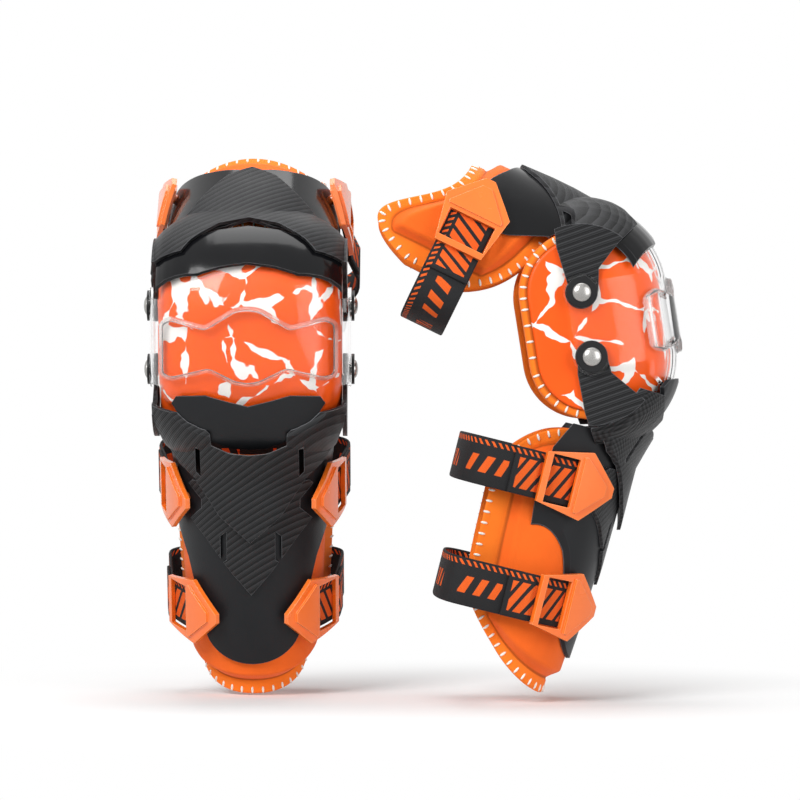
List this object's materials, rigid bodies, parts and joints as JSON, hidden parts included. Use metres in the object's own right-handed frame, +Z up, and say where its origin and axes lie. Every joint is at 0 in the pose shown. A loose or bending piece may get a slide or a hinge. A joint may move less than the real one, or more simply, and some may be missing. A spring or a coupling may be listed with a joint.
{
  "type": "knee guards",
  "caption": "Hinged motorcycle knee guards: padded thigh and shin shells joined by a clear knee cup on side pivots, held by elastic straps with slotted clips.",
  "frame": {"origin": "midway between the two lower pivots of the left guard", "axes": "+Z up, -Y the way the left guard faces, +X the way the right guard faces"},
  "size_m": [0.4411, 0.2284, 0.4435],
  "materials": {
    "pad_fabric": "sewn foam pad",
    "printed_liner": "printed satin",
    "clear_plastic": "clear gloss",
    "steel": "satin",
    "black_plastic": "satin",
    "gloss_black": "gloss",
    "matte_grey": "matte",
    "carbon_look": "twill relief",
    "clip_plastic": "gloss",
    "elastic_webbing": "woven"
  },
  "bodies": {
    "shins": {"left_shin_pad": "pad_fabric", "left_shin_shell": "matte_grey", "left_shin_plate": "carbon_look", "left_shin_frame": "carbon_look", "left_chin_plate": "matte_grey", "left_upper_shin_clip_inner": "clip_plastic", "left_upper_shin_clip_outer": "clip_plastic", "left_lower_shin_clip_inner": "clip_plastic", "left_lower_shin_clip_outer": "clip_plastic", "left_upper_shin_strap": "elastic_webbing", "left_lower_shin_strap": "elastic_webbing", "right_shin_pad": "pad_fabric", "right_shin_shell": "matte_grey", "right_shin_plate": "carbon_look", "right_shin_frame": "carbon_look", "right_chin_plate": "matte_grey", "right_upper_shin_clip_inner": "clip_plastic", "right_upper_shin_clip_outer": "clip_plastic", "right_lower_shin_clip_inner": "clip_plastic", "right_lower_shin_clip_outer": "clip_plastic", "right_upper_shin_strap": "elastic_webbing", "right_lower_shin_strap": "elastic_webbing"},
    "left_knee": {"left_knee_pad": "pad_fabric", "left_knee_liner": "printed_liner", "left_knee_cup": "clear_plastic", "left_lower_rivets": "steel", "left_upper_rivets": "steel", "left_lower_washers": "black_plastic", "left_upper_washers": "black_plastic"},
    "left_thigh": {"left_thigh_pad": "pad_fabric", "left_thigh_shell": "gloss_black", "left_thigh_frame": "carbon_look", "left_knee_visor": "gloss_black", "left_thigh_clip_inner": "clip_plastic", "left_thigh_clip_outer": "clip_plastic", "left_thigh_strap": "elastic_webbing"},
    "right_knee": {"right_knee_pad": "pad_fabric", "right_knee_liner": "printed_liner", "right_knee_cup": "clear_plastic", "right_lower_rivets": "steel", "right_upper_rivets": "steel", "right_lower_washers": "black_plastic", "right_upper_washers": "black_plastic"},
    "right_thigh": {"right_thigh_pad": "pad_fabric", "right_thigh_shell": "gloss_black", "right_thigh_frame": "carbon_look", "right_knee_visor": "gloss_black", "right_thigh_clip_inner": "clip_plastic", "right_thigh_clip_outer": "clip_plastic", "right_thigh_strap": "elastic_webbing"}
  },
  "joints": [
    {"name": "left_lower_pivot", "type": "hinge", "parent": "shins", "child": "left_knee", "pos_m": [0, 0, 0], "axis": [1, 0, 0], "range_deg": [-25, 5]},
    {"name": "left_upper_pivot", "type": "hinge", "parent": "left_knee", "child": "left_thigh", "pos_m": [0, -0.00453, 0.0518], "axis": [1, 0, 0], "range_deg": [-25, 14]},
    {"name": "right_lower_pivot", "type": "hinge", "parent": "shins", "child": "right_knee", "pos_m": [0.275, 0, 0.009], "axis": [0, 1, 0], "range_deg": [-15, 15]},
    {"name": "right_upper_pivot", "type": "hinge", "parent": "right_knee", "child": "right_thigh", "pos_m": [0.26687, 0, 0.06036], "axis": [0, 1, 0], "range_deg": [-25, 14]}
  ]
}
